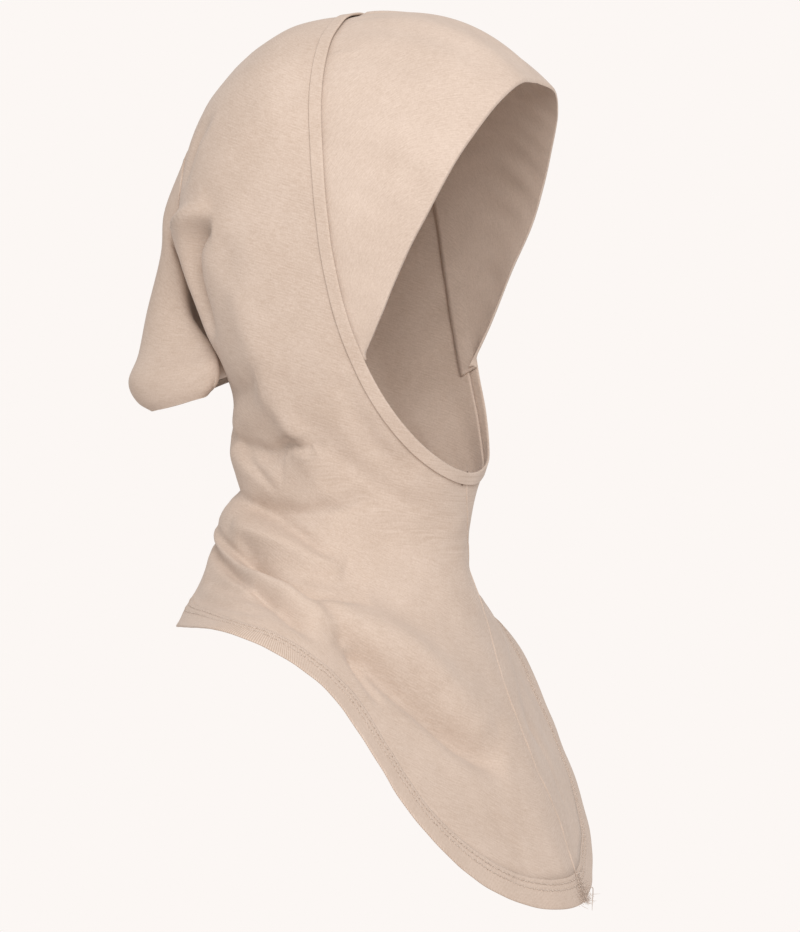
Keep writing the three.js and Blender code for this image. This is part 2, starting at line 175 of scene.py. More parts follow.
def ring_points(u):
    """Every ring's point at u, 0 at centre front, 0.25 on the wearer's right, 0.5 at centre back."""
    rings = []
    for sums in RING_SUMS:
        turn = 2 * np.pi * u[..., None] * np.arange(len(sums))
        width = np.sin(turn) @ sums[:, 0]
        forward, height = np.cos(turn) @ sums[:, 1], np.cos(turn) @ sums[:, 2]
        rings.append(placed(width, forward, height))
    return np.stack(rings)


def smooth_between(points, t):
    """Catmull-Rom curve through points[0] ... points[last] at t from 0 to 1, straight past its ends."""
    last = len(points) - 1
    i = np.clip(np.floor(t * last).astype(int), 0, last - 1)
    s = (t * last - i)[..., None]
    padded = np.concatenate([2 * points[:1] - points[1:2], points, 2 * points[-1:] - points[-2:-1]])

    def pick(k):
        place = np.broadcast_to((i + k)[None, ..., None], (1, *i.shape, 3))
        return np.take_along_axis(padded, place, 0)[0]

    return (pick(0) * (2 * s * s - s ** 3 - s) + pick(1) * (2 - 5 * s * s + 3 * s ** 3)
            + pick(2) * (s + 4 * s * s - 3 * s ** 3) + pick(3) * (s ** 3 - s * s)) / 2


def smooth_cloth(u, v):
    """The cloth before its folds: the smooth curve down through all rings at u, at v."""
    u, v = np.broadcast_arrays(np.asarray(u, float), np.asarray(v, float))
    return smooth_between(ring_points(u), v)


def unit(vectors):
    """Vectors divided by their own length."""
    return vectors / np.linalg.norm(vectors, axis=-1, keepdims=True)


def turns(surface, u, v):
    """A surface's slope round and down, per unit of u and of v."""
    step = 1e-3
    return ((surface(u + step, v) - surface(u - step, v)) / (2 * step),
            (surface(u, v + step) - surface(u, v - step)) / (2 * step))


def along_path(path, t):
    """Round and down at t along a path on the cloth: a parabola through three places, or a smooth
    curve through more."""
    if len(path) == 3:
        weights = np.stack([(1 - t) * (1 - 2 * t), 4 * t * (1 - t), t * (2 * t - 1)])
        return np.array(path).T @ weights
    places = np.pad(np.array(path), ((0, 0), (0, 1)))[:, None] * np.ones((1, len(t), 1))
    return smooth_between(places, t).T[:2]


def fold_line(path, steps=14):
    """Points of a path on the smooth cloth, evenly spaced along it."""
    return smooth_cloth(*along_path(path, np.linspace(0, 1, steps + 1)))


FOLD_LINES = [(width / 1000, height / 1000, fold_line(path))
              for width, height, *path in [*FOLDS.values(), *CREASES.values()]]


def fold_height(points):
    """Sum of bell sections, height x exp(-(distance / width)^2), faded to nothing at both ends of
    their lines, and of the slow waves."""
    flat = points.reshape(-1, 3)
    total = np.zeros(len(flat))
    for width, height, line in FOLD_LINES:
        reach = 3 * width
        near = np.flatnonzero(((flat > line.min(0) - reach) & (flat < line.max(0) + reach)).all(1))
        part = flat[near]
        nearest = np.full(len(near), np.inf)
        passed = np.zeros(len(near))
        for i, (a, b) in enumerate(zip(line, line[1:])):
            t = np.clip((part - a) @ (b - a) / ((b - a) @ (b - a)), 0, 1)
            gap = np.linalg.norm(part - a - t[:, None] * (b - a), axis=1)
            closer = gap < nearest
            nearest = np.where(closer, gap, nearest)
            passed = np.where(closer, (i + t) / (len(line) - 1), passed)
        total[near] += height * np.exp(-(nearest / width) ** 2) * np.sin(np.pi * passed) ** FOLD_FADE
    for length, height, way in WAVES:
        total += height / 1000 * np.sin(flat @ np.array(way) * 2000 * np.pi / length)
    return total.reshape(points.shape[:-1])


def cloth(u, v):
    """The smooth cloth moved out along its normal by the height of its folds."""
    point = smooth_cloth(u, v)
    round_, down = turns(smooth_cloth, u, v)
    return point + unit(np.cross(round_, down)) * fold_height(point)[..., None]


def outward(points):
    """Normals of a grid that goes once round in its first direction, from neighbouring points."""
    round_ = np.roll(points, -1, 0) - np.roll(points, 1, 0)
    return unit(np.cross(round_, np.gradient(points, axis=1)))


def on_cloth(u, v, out):
    """The point of the cloth at (u, v), moved out by a distance in mm."""
    round_, down = turns(cloth, u, v)
    return cloth(u, v) + unit(np.cross(round_, down)) * np.asarray(out)[..., None] / 1000


def beside(u, v, distance):
    """How far down a line lies that runs a distance in mm beside the edge at v."""
    round_, down = turns(smooth_cloth, u, v)
    across = np.linalg.norm(np.cross(unit(round_), down), axis=-1)
    return v + distance / 1000 / across


# Share of the way down at which each edge is measured, just inside it
EDGE_INSET = 0.002


def from_face(u, distance):
    """How far down a line lies that runs beside the face edge."""
    return beside(u, EDGE_INSET, distance)


def from_bottom(u, distance):
    """How far down a line lies that runs beside the bottom edge."""
    return beside(u, 1 - EDGE_INSET, -distance)


def put_mesh(name, points, faces, corner_uv):
    """A mesh object from points, quads and the texture place of each corner, its faces outward."""
    a, b, c, d = (points[faces[:, k]] for k in range(4))
    if np.einsum("ij,ij->i", a, np.cross(b, c) + np.cross(c, d)).sum() < 0:
        faces, corner_uv = faces[:, ::-1], corner_uv[:, ::-1]
    mesh = bpy.data.meshes.new(name)
    mesh.vertices.add(len(points))
    mesh.vertices.foreach_set("co", points.astype(np.float32).ravel())
    mesh.loops.add(faces.size)
    mesh.loops.foreach_set("vertex_index", faces.astype(np.int32).ravel())
    mesh.polygons.add(len(faces))
    mesh.polygons.foreach_set("loop_start", np.arange(0, faces.size, 4, dtype=np.int32))
    mesh.update(calc_edges=True)
    mesh.uv_layers.new(name="cloth").data.foreach_set("uv", corner_uv.astype(np.float32).ravel())
    mesh.polygons.foreach_set("use_smooth", np.ones(len(faces), bool))
    mesh.validate()
    piece = bpy.data.objects.new(name, mesh)
    bpy.context.scene.collection.objects.link(piece)
    return piece


def wrapped_quads(rows, size, closes):
    """Quads between neighbouring rows of closed loops. The rows close too, or the first and last
    are covered by a strip that joins the two halves of the loop."""
    i = np.arange(rows if closes else rows - 1)[:, None]
    j = np.arange(size)[None]
    here, there, after = i * size, (i + 1) % rows * size, (j + 1) % size
    quads = np.stack([here + j, here + after, there + after, there + j], -1).reshape(-1, 4)
    if closes:
        return quads
    k = np.arange(size // 2 - 1)
    strip = np.stack([k, k + 1, size - 2 - k, size - 1 - k], -1)
    return np.vstack([quads, strip[:, ::-1], strip + (rows - 1) * size])


def corner_uvs(uv, closes):
    """Texture places of the corners of wrapped_quads from those of an unwrapped grid."""
    rows = len(uv) - 1
    size = uv.shape[1] - 1
    corners = np.stack([uv[:-1, :-1], uv[:-1, 1:], uv[1:, 1:], uv[1:, :-1]], -2).reshape(-1, 4, 2)
    if closes:
        return corners
    k = np.arange(size // 2 - 1)
    strip = [np.stack([uv[row, k], uv[row, k + 1], uv[row, size - 2 - k], uv[row, size - 1 - k]], 1)
             for row in (0, rows)]
    return np.vstack([corners, strip[0][:, ::-1], strip[1]])


def knit_places(points, u, v):
    """Texture places in metres, along the courses and down across them, the same on both sides.
    The courses lie level round a skull that is a half cylinder with a round back. From the neck
    down they keep their distance from the course above, measured along the cloth."""
    x, y, z = np.moveaxis(points * 1000, -1, 0)
    back = np.maximum(y - SKULL["back_from"], 0)
    rise = z - SKULL["height"]
    tilt = np.arctan2(np.hypot(x, back) + 1e-6, np.maximum(rise, 0))
    down = SKULL["radius"] * tilt - np.minimum(rise, 0)
    along = np.where(back > 0, SKULL["radius"] * np.arctan2(back, np.abs(x)), y - SKULL["back_from"])
    low = SKULL["neck_round"] * (np.minimum(u, 1 - u) - 0.25)
    share = np.clip((v - SKULL["until"]) / SKULL["over"], 0, 1)
    along = along + (low - along) * share * share * (3 - 2 * share)
    gone = np.cumsum(np.linalg.norm(np.gradient(points, axis=1), axis=-1), axis=1) * 1000
    middle = np.abs(v - 0.5).argmin(1)[:, None]
    below = np.take_along_axis(down - gone, middle, 1) + gone
    return np.stack([along, np.where(v < 0.5, down, below)], -1) / 1000


def mouth_opened(points, quads, corners):
    """The hood with an oval hole at the back of the head: the quads inside it are left out, the
    points round it are moved on to the oval, and a rim of quads joins the two faces there."""
    size = points.shape[1]
    x = points[..., 0] * 1000 / MOUTH["half_width"]
    z = (points[..., 2] * 1000 - MOUTH["height"] - SEAT_DEPTH) / MOUTH["half_height"]
    reach = np.where(points[..., 1] > 0, np.hypot(x, z), np.inf).reshape(-1)
    flat = points.reshape(-1, 3)
    cut = (reach[quads] < 1).all(1)
    cell = cut.reshape(-1, size)
    rim = []
    for shift, axis, (p, q) in ((1, 0, (0, 1)), (-1, 0, (2, 3)), (1, 1, (3, 0)), (-1, 1, (1, 2))):
        edge = cell & ~np.roll(cell, shift, axis)
        edge[:, size // 2:] = False
        ends = quads[edge.reshape(-1)][:, [p, q]]
        across = ends // size * size + size - 1 - ends % size
        rim.append(np.stack([ends[:, 0], ends[:, 1], across[:, 1], across[:, 0]], -1))
    rim = np.vstack(rim)
    on_rim = np.unique(rim)
    scale = 1 / reach[on_rim]
    centre = (MOUTH["height"] + SEAT_DEPTH) / 1000
    flat[on_rim, 0] *= scale
    flat[on_rim, 2] = centre + (flat[on_rim, 2] - centre) * scale
    rim_uv = np.stack([flat[rim][..., 0], flat[rim][..., 2]], -1)
    return flat, np.vstack([quads[~cut], rim]), np.vstack([corners[~cut], rim_uv])


def hood_piece():
    """Outer and inner face of the cloth between the hems as one closed loop section, open into the
    pouch."""
    t = np.arange(HOOD_AROUND + 1) / HOOD_AROUND
    u = t - FRONT_FINER * np.sin(2 * np.pi * t) / (2 * np.pi)
    top = from_face(u, FACE_HEM_WIDTH - HEM_LAP)
    bottom = from_bottom(u, BOTTOM_HEM_WIDTH - HEM_LAP)
    w = np.linspace(0, 1, HOOD_DOWN)
    w = w + NECK_FINER * (np.sin(2 * np.pi * w - NECK_PHASE) + np.sin(NECK_PHASE)) / (2 * np.pi)
    v = top[:, None] + (bottom - top)[:, None] * w
    uu = np.broadcast_to(u[:, None], v.shape)
    outer = cloth(uu, v)
    uv = knit_places(outer, uu, v)
    outer = outer[:-1]
    inner = outer - outward(outer) * CLOTH / 1000
    points = np.concatenate([outer, inner[:, ::-1]], 1)
    uv = np.concatenate([uv, uv[:, ::-1], uv[:, :1]], 1)
    quads = wrapped_quads(HOOD_AROUND, 2 * HOOD_DOWN, True)
    return put_mesh("hood_cloth", *mouth_opened(points, quads, corner_uvs(uv, True)))


hood = hood_piece()
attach(hood, "root")
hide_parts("hood")


def linear(colour):
    """A linear RGBA value from an sRGB hex colour."""
    value = np.array([int(colour[i:i + 2], 16) for i in (1, 3, 5)]) / 255
    value = np.where(value <= 0.04045, value / 12.92, ((value + 0.055) / 1.055) ** 2.4)
    return (*value, 1)


def add(tree, kind, links=None, **settings):
    """A node with its settings, and a link or value for each named or numbered input."""
    node = tree.nodes.new(kind)
    for key, value in settings.items():
        setattr(node, key, value)
    for key, value in (links or {}).items():
        if isinstance(value, bpy.types.NodeSocket):
            tree.links.new(value, node.inputs[key])
        else:
            node.inputs[key].default_value = value
    return node


# Sizes in the knit, in metres. Real courses and wales stand 0.5 to 0.6 mm apart, which is one
# pixel here, so both are drawn about twice as coarse to show as the fine hatch that the eye sees.
COURSE = 1.2e-3
WALE = 1.1e-3
STREAK = 0.75e-3
FUZZ = 0.8e-3
BLOTCH = 26e-3
# How often streaks come along a course, as a share of how often across it, and the length of one
# band of a wave texture at scale 1
STREAK_ALONG = 0.16
LINE_PERIOD = 2 * np.pi / 20


# Viscose single jersey, circular knitted and piece dyed beige. The eye sees a matte, slightly
# fuzzy face with fine short streaks along the courses, faint ribs across them, and a soft mottle.
def jersey(name, light, dark, turn, rib=0.0, hatch=1.0):
    """Jersey knit: streaks and courses turned by an angle, ribs (wales) square to them, mottle."""
    material = bpy.data.materials.new(name)
    material.use_nodes = True
    tree = material.node_tree
    shader = tree.nodes["Principled BSDF"]
    place = add(tree, "ShaderNodeUVMap", uv_map="cloth").outputs["UV"]
    inside = add(tree, "ShaderNodeTexCoord").outputs["Object"]
    turned = add(tree, "ShaderNodeMapping", {"Vector": place, "Rotation": (0, 0, turn)}).outputs[0]
    drawn = add(tree, "ShaderNodeMapping", {"Vector": turned, "Scale": (STREAK_ALONG, 1, 1)}).outputs[0]
    grain = {"Vector": drawn, "Scale": 1 / STREAK, "Detail": 2.0, "Roughness": 0.55}
    streak = add(tree, "ShaderNodeTexNoise", grain).outputs[0]
    grain = {"Vector": inside, "Scale": 1 / BLOTCH, "Detail": 4.0, "Roughness": 0.55}
    blotch = add(tree, "ShaderNodeTexNoise", grain).outputs[0]
    grain = {"Vector": inside, "Scale": 1 / FUZZ, "Detail": 2.0}
    fuzz = add(tree, "ShaderNodeTexNoise", grain).outputs[0]
    lines = {"Vector": turned, "Scale": LINE_PERIOD / COURSE, "Distortion": 0.7, "Detail": 2.0,
             "Detail Scale": 1.5}
    courses = add(tree, "ShaderNodeTexWave", lines, wave_type="BANDS", bands_direction="Y").outputs[1]
    lines = {"Vector": place, "Scale": LINE_PERIOD / WALE, "Distortion": 0.5, "Detail": 1.0,
             "Detail Scale": 2.0}
    ribs = add(tree, "ShaderNodeTexWave", lines, wave_type="BANDS", bands_direction="X").outputs[1]
    shares = ((streak, 0.5), (blotch, 0.35), (fuzz, 0.5), (courses, 0.05 * hatch), (ribs, 0.16 * rib))
    value = 0.5
    for source, share in shares:
        part = add(tree, "ShaderNodeMath", {0: source, 1: 0.5}, operation="SUBTRACT").outputs[0]
        terms = {0: part, 1: share, 2: value}
        value = add(tree, "ShaderNodeMath", terms, operation="MULTIPLY_ADD").outputs[0]
    mixed = add(tree, "ShaderNodeValToRGB", {0: value})
    mixed.color_ramp.elements[0].position = 0.32
    mixed.color_ramp.elements[0].color = linear(dark)
    mixed.color_ramp.elements[1].position = 0.68
    mixed.color_ramp.elements[1].color = linear(light)
    tree.links.new(mixed.outputs[0], shader.inputs["Base Color"])
    relief = streak
    for source, share in ((fuzz, 0.8), (courses, 0.15 * hatch), (ribs, 0.5 * rib)):
        terms = {0: source, 1: share, 2: relief}
        relief = add(tree, "ShaderNodeMath", terms, operation="MULTIPLY_ADD").outputs[0]
    bump = add(tree, "ShaderNodeBump", {"Strength": 0.3, "Distance": 0.00015, "Height": relief})
    tree.links.new(bump.outputs[0], shader.inputs["Normal"])
    shader.inputs["Roughness"].default_value = 0.9
    shader.inputs["Sheen Weight"].default_value = 0.15
    shader.inputs["Sheen Roughness"].default_value = 0.5
    shader.inputs["Specular IOR Level"].default_value = 0.2
    return material


hood.data.materials.append(jersey("jersey_knit_melange", "#CDBBAD", "#BBA797", 0.3))

# Centre-front seam: the two halves of the hood joined from the chin to the bottom hem, a narrow
# ridge of cut edges under the cloth. It is pulled a little to the wearer's left where it lies.
SEAM_PATH = [(1.004, 0.06), (0.985, 0.35), (0.953, 0.66), (0.978, 0.82), (0.982, 0.9),
             (0.965, 0.95), (0.97, 0.98)]
SEAM_HALF_WIDTH = 1.0
SEAM_RISE = 0.4
SEAM_STEPS = 420
SEAM_SIDES = 8
# Uneven rise along the seam, as (share of the rise, waves in radians), and its two tapered ends
SEAM_WAVES = [(0.25, 61), (0.2, 149)]
SEAM_END = {"share": 0.025, "thinnest": 0.04}
# The ridge unrolled, in metres: round it and along it
SEAM_ROUND = 0.004
SEAM_LONG = 0.25


def seam_piece():
    """A flat tube along the seam's path: an ellipse sunk in the cloth to its middle, its rise
    varied a little along the way."""
    t = np.linspace(0, 1, SEAM_STEPS)
    u, v = along_path(SEAM_PATH, t)
    centre = cloth(u, v)
    round_, down = turns(cloth, u, v)
    normal = unit(np.cross(round_, down))
    side = unit(np.cross(np.gradient(centre, axis=0), normal))
    angle = 2 * np.pi * (np.arange(SEAM_SIDES) + 0.5) / SEAM_SIDES
    taper = np.sqrt(np.clip(np.minimum(t, 1 - t) / SEAM_END["share"], SEAM_END["thinnest"], 1))
    rise = SEAM_RISE * (1 + sum(share * np.sin(t * waves) for share, waves in SEAM_WAVES)) * taper
    points = (centre[:, None] + side[:, None] * np.cos(angle)[None, :, None] * SEAM_HALF_WIDTH / 1000
              + normal[:, None] * (np.sin(angle) * rise[:, None])[..., None] / 1000)
    turned = np.arange(SEAM_SIDES + 1) / SEAM_SIDES
    uv = np.stack(np.meshgrid(turned * SEAM_ROUND, t * SEAM_LONG), -1)
    quads = wrapped_quads(SEAM_STEPS, SEAM_SIDES, False)
    return put_mesh("centre_front_seam", points.reshape(-1, 3), quads, corner_uvs(uv, False))


seam = seam_piece()
seam.data.materials.append(jersey("jersey_knit_seam_ridge", "#CDBBAD", "#BBA797", 0.0))
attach(seam, "root")

# Face hem: the hood's own edge turned in by 6 mm round the whole face opening and held by one row
# of lockstitch. The cloth puckers a little between the stitches, most under the chin.
FACE_HEM_AROUND = 900
FACE_ROW = 5.2
# Sizes in mm: how far the outer face stands off the cloth, its wall, and how thin it ends
HEM_PROUD = 0.25
HEM_WALL = 1.2
HEM_THIN = 0.1
# Depth and width of a stitch row's groove, length and width of the puckers, and the width of the
# rounded fold, which has neither
GROOVE = 0.18
GROOVE_WIDTH = 0.7
PUCKER = 2.6
PUCKER_WIDTH = 1.6
FOLD_WIDTH = 0.4


def hem_piece(name, width, line, count, rows, pucker, own_knit):
    """A flat loop section round the edge: outer face, rounded fold and inner face, with a shallow
    groove along each stitch row and small waves across the face where it puckers. Past the rows
    the outer face thins out to meet the cloth. The texture is the hood's, or runs along the edge."""
    t = np.arange(count) / count
    face = width * np.array([1, 0.95, 0.9, 0.85, 0.8, 0.74, 0.67, 0.61, 0.5, 0.38, 0.24, 0.1])
    distance = np.concatenate([face, [0.5, 0.15, 0]])
    half = HEM_WALL / 2
    flat = HEM_THIN + (HEM_PROUD - HEM_THIN) * np.clip((width - face) / (width - rows[-1] + 1), 0, 1)
    outer = np.concatenate([flat, HEM_PROUD - half * np.array([0.1, 0.45, 1])])
    tt, dd = np.meshgrid(t, distance, indexing="ij")
    base = cloth(tt, line(tt, dd))
    normal = -outward(base) * np.sign(distance[-1] - distance[0])
    edge = base[:, -1]
    length = np.linalg.norm(np.roll(edge, -1, 0) - edge, axis=-1)
    gone = np.concatenate([[0], np.cumsum(length)])
    swell = pucker(t)[:, None] * np.sin(gone[:-1, None] * 1000 * 2 * np.pi / PUCKER)
    out = outer + swell * np.exp(-((dd - rows[0]) / PUCKER_WIDTH) ** 2) * (dd > FOLD_WIDTH)
    for row in rows:
        out = out - GROOVE * np.exp(-((dd - row) / GROOVE_WIDTH) ** 2) * (dd > FOLD_WIDTH)
    level = np.concatenate([np.full(len(face), HEM_PROUD), outer[-3:]])
    inner = np.broadcast_to(2 * (HEM_PROUD - half) - level, dd.shape)
    points = np.concatenate([base + normal * out[..., None] / 1000,
                             (base + normal * inner[..., None] / 1000)[:, -2::-1]], 1)
    along, across = np.meshgrid(gone, distance / 1000, indexing="ij")
    uv = np.stack([along, across], -1)
    if own_knit:
        uv = knit_places(base, tt, line(tt, dd))
        uv = np.concatenate([uv, uv[:1]])
    uv = np.concatenate([uv, uv[:, -2::-1], uv[:, :1]], 1)
    return put_mesh(name, points.reshape(-1, 3), wrapped_quads(count, points.shape[1], True),
                    corner_uvs(uv, True))


def face_pucker(t):
    """Height of the puckers in mm: low all round, with a bell on both sides of the chin."""
    from_chin = np.abs((t + 0.5) % 1 - 0.5)
    return 0.05 + 0.22 * np.exp(-((from_chin - 0.02) / 0.07) ** 2)


face_hem = hem_piece("face_hem_cloth", FACE_HEM_WIDTH, from_face, FACE_HEM_AROUND, [FACE_ROW],
                     face_pucker, True)
face_hem.data.materials.append(jersey("jersey_knit_turned_hem", "#CDBBAD", "#BBA797", 0.3))
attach(face_hem, "root")
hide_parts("face_hem")

# Bottom hem: the edge of cape and bib turned up by 14 mm and held by two rows of twin-needle
# stitches. Its ribs run square to the edge.
BOTTOM_HEM_AROUND = 1400
BOTTOM_ROWS = [9, 11.8]


def bottom_pucker(t):
    """Height of the puckers in mm, the same all round."""
    return np.full(len(t), 0.08)


bottom_hem = hem_piece("bottom_hem_cloth", BOTTOM_HEM_WIDTH, from_bottom, BOTTOM_HEM_AROUND, BOTTOM_ROWS,
                       bottom_pucker, False)
bottom_hem.data.materials.append(
    jersey("jersey_knit_turned_hem_ribbed", "#CFBDAF", "#B9A595", 0.0, rib=3.0, hatch=0.0))
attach(bottom_hem, "root")
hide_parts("bottom_hem")

# Stitches: spun polyester thread dyed to match, pulled tight into the cloth. The face row's thread is
# coloured dark brown as painted shade, the shadow in its stitch holes, so it reads as small dark
# dashes. The two bottom rows are a chain that slants to and fro like a braid.
FACE_STITCH = {"pitch": 2.5, "length": 1.6, "radius": 0.3, "slant": 0.05}
BOTTOM_STITCH = {"pitch": 1.9, "length": 2.1, "radius": 0.36, "slant": 0.34}
# Where the ends of each hem meet, and how far apart the two zigzags over the bottom join lie
JOIN_AT = 0.972
CHIN_JOIN_AT = 0.008
ZIGZAG_APART = 0.006
# How deep a row's stitches sink into the hem, in mm
STITCH_SUNK = 0.1
# A zigzag's grains and the distances from the edge where they start and end, in mm. Sway and stray
# are parts of a turn round the hood, turn and waver are radians
ZIGZAG = {"rise": 0.25, "length": 3.0, "radius": 0.36, "start": 0.6, "short_of": 0.4,
          "sway": 0.0016, "stray": 0.0007, "turn": 0.7, "waver": 0.3}
ROW_SAMPLES = 3001
# Size of the twist's light and dark bands, in metres, drawn coarser than the real 0.2 mm to show
TWIST = 0.6e-3


def grains(centre, along, out, length, radius):
    """One closed thread grain at each centre: four square rings along it, narrow at both ends."""
    side = np.cross(out, along)
    reach = np.array([-0.5, -0.3, 0.3, 0.5])
    thick = np.array([0.45, 1, 1, 0.45])
    corner = np.pi / 4 + np.pi / 2 * np.arange(4)
    ring = (side[:, None, None] * np.cos(corner)[:, None]
            + out[:, None, None] * np.sin(corner)[:, None]) * thick[:, None, None]
    points = (centre[:, None, None] + along[:, None, None] * (reach * length / 1000)[:, None, None]
              + ring * radius / 1000)
    shell = wrapped_quads(4, 4, False)[:12]
    faces = np.vstack([shell, [[3, 2, 1, 0], [12, 13, 14, 15]]])
    return points.reshape(-1, 3), faces


def row_of_stitches(line, distance, pitch, length, radius, slant):
    """Grains one pitch apart along a hem, each turned a little to and fro across the row."""
    u = np.linspace(0, 1, ROW_SAMPLES)
    path = cloth(u, line(u, np.full(u.shape, float(distance))))
    gone = np.concatenate([[0], np.cumsum(np.linalg.norm(np.diff(path, axis=0), axis=1))]) * 1000
    count = int(gone[-1] / pitch)
    u = np.interp((np.arange(count) + 0.5) * gone[-1] / count, gone, u)
    v = line(u, np.full(u.shape, float(distance)))
    round_, down = turns(cloth, u, v)
    out = unit(np.cross(round_, down))
    along = unit(round_)
    turned = slant * (-1.0) ** np.arange(count)[:, None]
    along = along * np.cos(turned) + np.cross(out, along) * np.sin(turned)
    return grains(cloth(u, v) + out * (HEM_PROUD - STITCH_SUNK) / 1000, along, out, length, radius)


def crossing_stitches(line, at, width, count):
    """A short zigzag of grains across a hem, where its two ends meet."""
    k = np.arange(count)
    distance = ZIGZAG["start"] + (width - ZIGZAG["short_of"]) * k / count
    u = at + ZIGZAG["sway"] * (-1.0) ** k + ZIGZAG["stray"] * np.sin(k * 2.4)
    v = line(u, distance)
    round_, down = turns(cloth, u, v)
    out = unit(np.cross(round_, down))
    turned = (ZIGZAG["turn"] * (-1.0) ** k + ZIGZAG["waver"] * np.sin(k * 1.7))[:, None]
    along = unit(unit(down) * np.cos(turned) + unit(round_) * np.sin(turned))
    centre = cloth(u, v) + out * (HEM_PROUD + ZIGZAG["rise"]) / 1000
    return grains(centre, along, out, ZIGZAG["length"], ZIGZAG["radius"])


def thread_corners(count):
    """The same small texture patch for each of a number of quads."""
    patch = np.array([(0, 0), (0.001, 0), (0.001, 0.002), (0, 0.002)])
    return np.tile(patch, (count, 1, 1))


def joined(name, groups, material):
    """One mesh from several groups of grains, whose texture runs along each grain."""
    points = np.concatenate([group[0] for group in groups])
    shape = groups[0][1]
    grain_size = shape.max() + 1
    first = np.arange(len(points) // grain_size)[:, None, None] * grain_size
    faces = (first + shape).reshape(-1, 4)
    piece = put_mesh(name, points, faces, thread_corners(len(faces)))
    piece.data.materials.append(material)
    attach(piece, "root")
    return piece


def thread(name, light, dark):
    """Spun polyester sewing thread: a dull twist, with light and dark bands slanting round it."""
    material = bpy.data.materials.new(name)
    material.use_nodes = True
    tree = material.node_tree
    shader = tree.nodes["Principled BSDF"]
    place = add(tree, "ShaderNodeTexCoord").outputs["Object"]
    twist = add(tree, "ShaderNodeTexNoise", {"Vector": place, "Scale": 1 / TWIST, "Detail": 1.0}).outputs[0]
    mixed = add(tree, "ShaderNodeValToRGB", {0: twist})
    mixed.color_ramp.elements[0].position = 0.35
    mixed.color_ramp.elements[0].color = linear(dark)
    mixed.color_ramp.elements[1].position = 0.65
    mixed.color_ramp.elements[1].color = linear(light)
    tree.links.new(mixed.outputs[0], shader.inputs["Base Color"])
    shader.inputs["Roughness"].default_value = 0.6
    shader.inputs["Sheen Weight"].default_value = 0.2
    return material


# The face stitches' dark brown is painted shade, the shadow in the holes the thread sinks into
joined("face_stitches", [row_of_stitches(from_face, FACE_ROW, **FACE_STITCH),
                         crossing_stitches(from_face, CHIN_JOIN_AT, FACE_HEM_WIDTH, 7)],
       thread("thread_painted_hole_shade", "#8A7362", "#6A5546"))
joined("bottom_stitches", [row_of_stitches(from_bottom, row, **BOTTOM_STITCH) for row in BOTTOM_ROWS]
       + [crossing_stitches(from_bottom, JOIN_AT, BOTTOM_HEM_WIDTH, 15),
          crossing_stitches(from_bottom, JOIN_AT - ZIGZAG_APART, BOTTOM_HEM_WIDTH, 13)],
       thread("thread_chain", "#CDBCAE", "#B09C8C"))

# Rough end of the join: cut threads and fluff where the bottom hem's ends meet the centre-front
# seam, and one longer loose thread end.
FLUFF = {"count": 170, "radius": 0.11, "spread": 0.0091, "shortest": 1.2, "longest": 4.4, "curl": 0.35,
         "steps": 6, "seed": 7}
# The loose thread starts beside the join. Its points are given towards the wearer's left, out of
# the cloth and up, in mm
LOOSE_THREAD = {"radius": 0.26, "beside": 0.004, "from_edge": 3.0, "steps": 30,
                "path": [(0, 0.4, 0), (3, 2.5, 1.5), (6.5, 3.5, 0.5), (9, 3.2, -3), (10.5, 2.6, -7),
                         (11, 2.4, -11)]}
STRAND_SIDES = 3


def strands(paths, radius):
    """Three-sided tubes along paths of points, thinner towards both ends as half a sine wave: the
    points, grouped by strand, and the quads of all of them."""
    count, steps, _ = paths.shape
    along = unit(np.gradient(paths, axis=1))
    aslant = np.array([0.31, 0.52, 0.79])
    side = unit(np.cross(along, aslant))
    over = np.cross(along, side)
    turn = 2 * np.pi * np.arange(STRAND_SIDES) / STRAND_SIDES
    thick = radius / 1000 * np.sin(np.pi * np.linspace(0.12, 0.88, steps))[None, :, None, None]
    points = paths[:, :, None] + thick * (side[:, :, None] * np.cos(turn)[:, None]
                                          + over[:, :, None] * np.sin(turn)[:, None])
    i, j = np.arange(steps - 1)[:, None] * STRAND_SIDES, np.arange(STRAND_SIDES)[None]
    after = (j + 1) % STRAND_SIDES
    tube = np.stack([i + j, i + after, i + STRAND_SIDES + after, i + STRAND_SIDES + j], -1)
    first = np.arange(count)[:, None, None] * steps * STRAND_SIDES
    return points.reshape(-1, 3), (first + tube.reshape(-1, 4)).reshape(-1, 4)


def fluff_paths():
    """Short curved hairs that stand out of the hem's join in all directions, seeded: root + length
    x (way x t + curl x t squared)."""
    random = np.random.default_rng(FLUFF["seed"])
    count = FLUFF["count"]
    u = JOIN_AT + random.normal(0, FLUFF["spread"], count)
    distance = random.uniform(-0.3, BOTTOM_HEM_WIDTH, count) * random.uniform(0, 1, count)
    v = from_bottom(u, distance)
    root = on_cloth(u, v, np.full(count, HEM_PROUD))
    round_, down = turns(cloth, u, v)
    out = unit(np.cross(round_, down))
    way = unit(out * random.uniform(0.2, 1, (count, 1)) + unit(down) * random.normal(0.5, 0.7, (count, 1))
               + unit(round_) * random.normal(0, 0.8, (count, 1)))
    curl = random.normal(0, 1, (count, 3))
    t = np.linspace(0, 1, FLUFF["steps"])[:, None]
    length = random.uniform(FLUFF["shortest"], FLUFF["longest"], (count, 1, 1)) / 1000
    return root[:, None] + length * (way[:, None] * t + FLUFF["curl"] * curl[:, None] * t * t)


def loose_thread_path():
    """A smooth curve through the thread's points, carried on the cloth beside the join."""
    u = np.array([JOIN_AT - LOOSE_THREAD["beside"]])
    v = from_bottom(u, np.array([LOOSE_THREAD["from_edge"]]))
    round_, down = turns(cloth, u, v)
    axes = np.concatenate([-unit(round_), unit(np.cross(round_, down)), [[0, 0, 1]]])
    path = on_cloth(u, v, np.array([HEM_PROUD])) + np.array(LOOSE_THREAD["path"]) / 1000 @ axes
    steps = LOOSE_THREAD["steps"]
    return smooth_between(path[:, None] * np.ones((1, steps, 1)), np.linspace(0, 1, steps))


